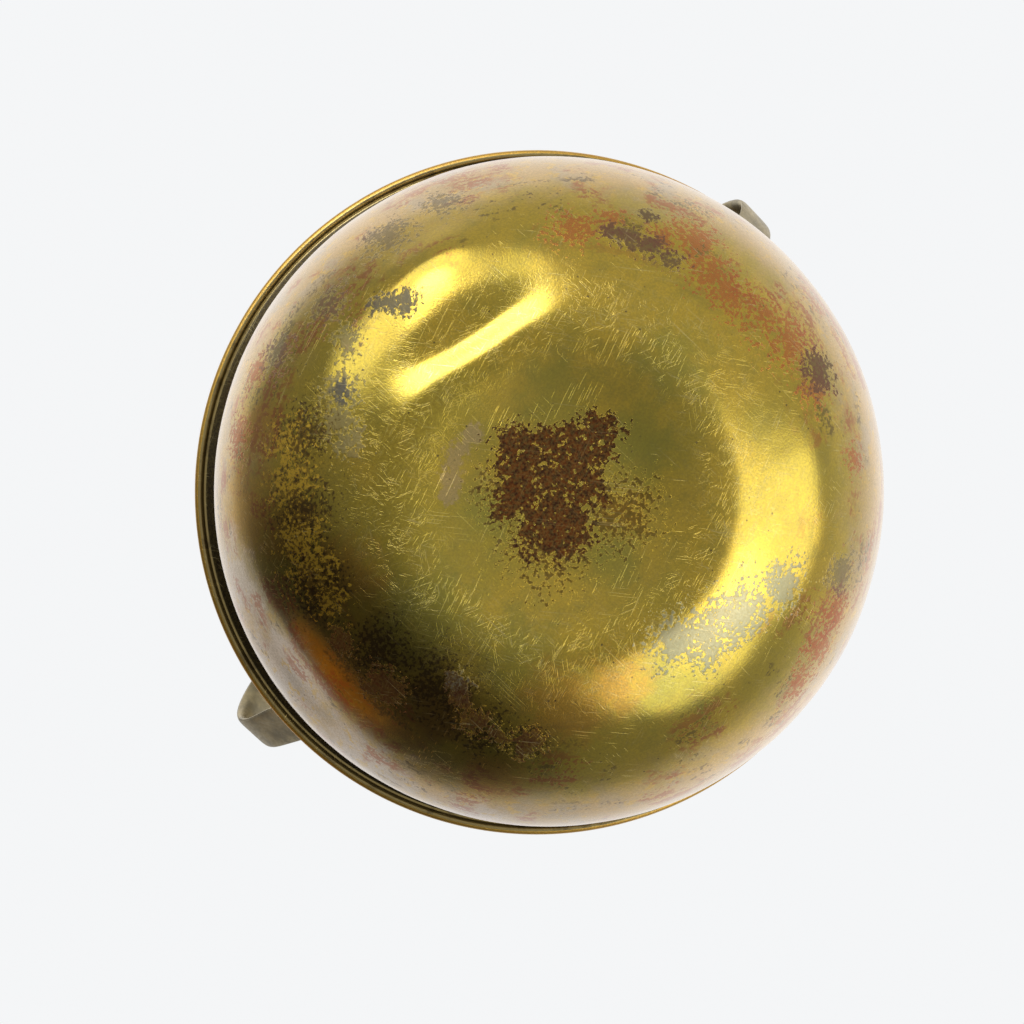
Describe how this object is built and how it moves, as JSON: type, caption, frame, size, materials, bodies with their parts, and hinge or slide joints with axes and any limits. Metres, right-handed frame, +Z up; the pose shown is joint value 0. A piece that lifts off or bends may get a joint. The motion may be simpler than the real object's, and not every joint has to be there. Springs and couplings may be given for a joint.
{
  "type": "planter pot",
  "caption": "Spun brass planter pot with a round belly, dimpled base and flared mouth, carried by a strap bail handle that swings on riveted ears",
  "frame": {"origin": "centre of the base ring, on the surface that the pot stands on", "axes": "+Z up through the mouth, X along the bail's pivot axis, the bail leans toward -Y at rest"},
  "size_m": [0.193, 0.166, 0.1877],
  "materials": {
    "bowl_brass": "satin, olive-gold with brown, red and grey tarnish stains and fine scratches",
    "fittings_brass": "dull grey-brown tarnished brass with worn edges",
    "rivet_brass": "rubbed brass, brighter on the heads"
  },
  "bodies": {
    "pot": {"bowl": "bowl_brass", "ear_left": "fittings_brass", "ear_right": "fittings_brass", "ear_rivets_left": "rivet_brass", "ear_rivets_right": "rivet_brass", "pivot_washer_left": "rivet_brass", "pivot_washer_right": "rivet_brass", "pivot_rivet_left": "rivet_brass", "pivot_rivet_right": "rivet_brass"},
    "bail": {"bail": "fittings_brass"}
  },
  "joints": [
    {"name": "bail_swing", "type": "hinge", "parent": "pot", "child": "bail", "pos_m": [0, 0, 0.09972], "axis": [1, 0, 0], "range_deg": [-121, 97]}
  ]
}
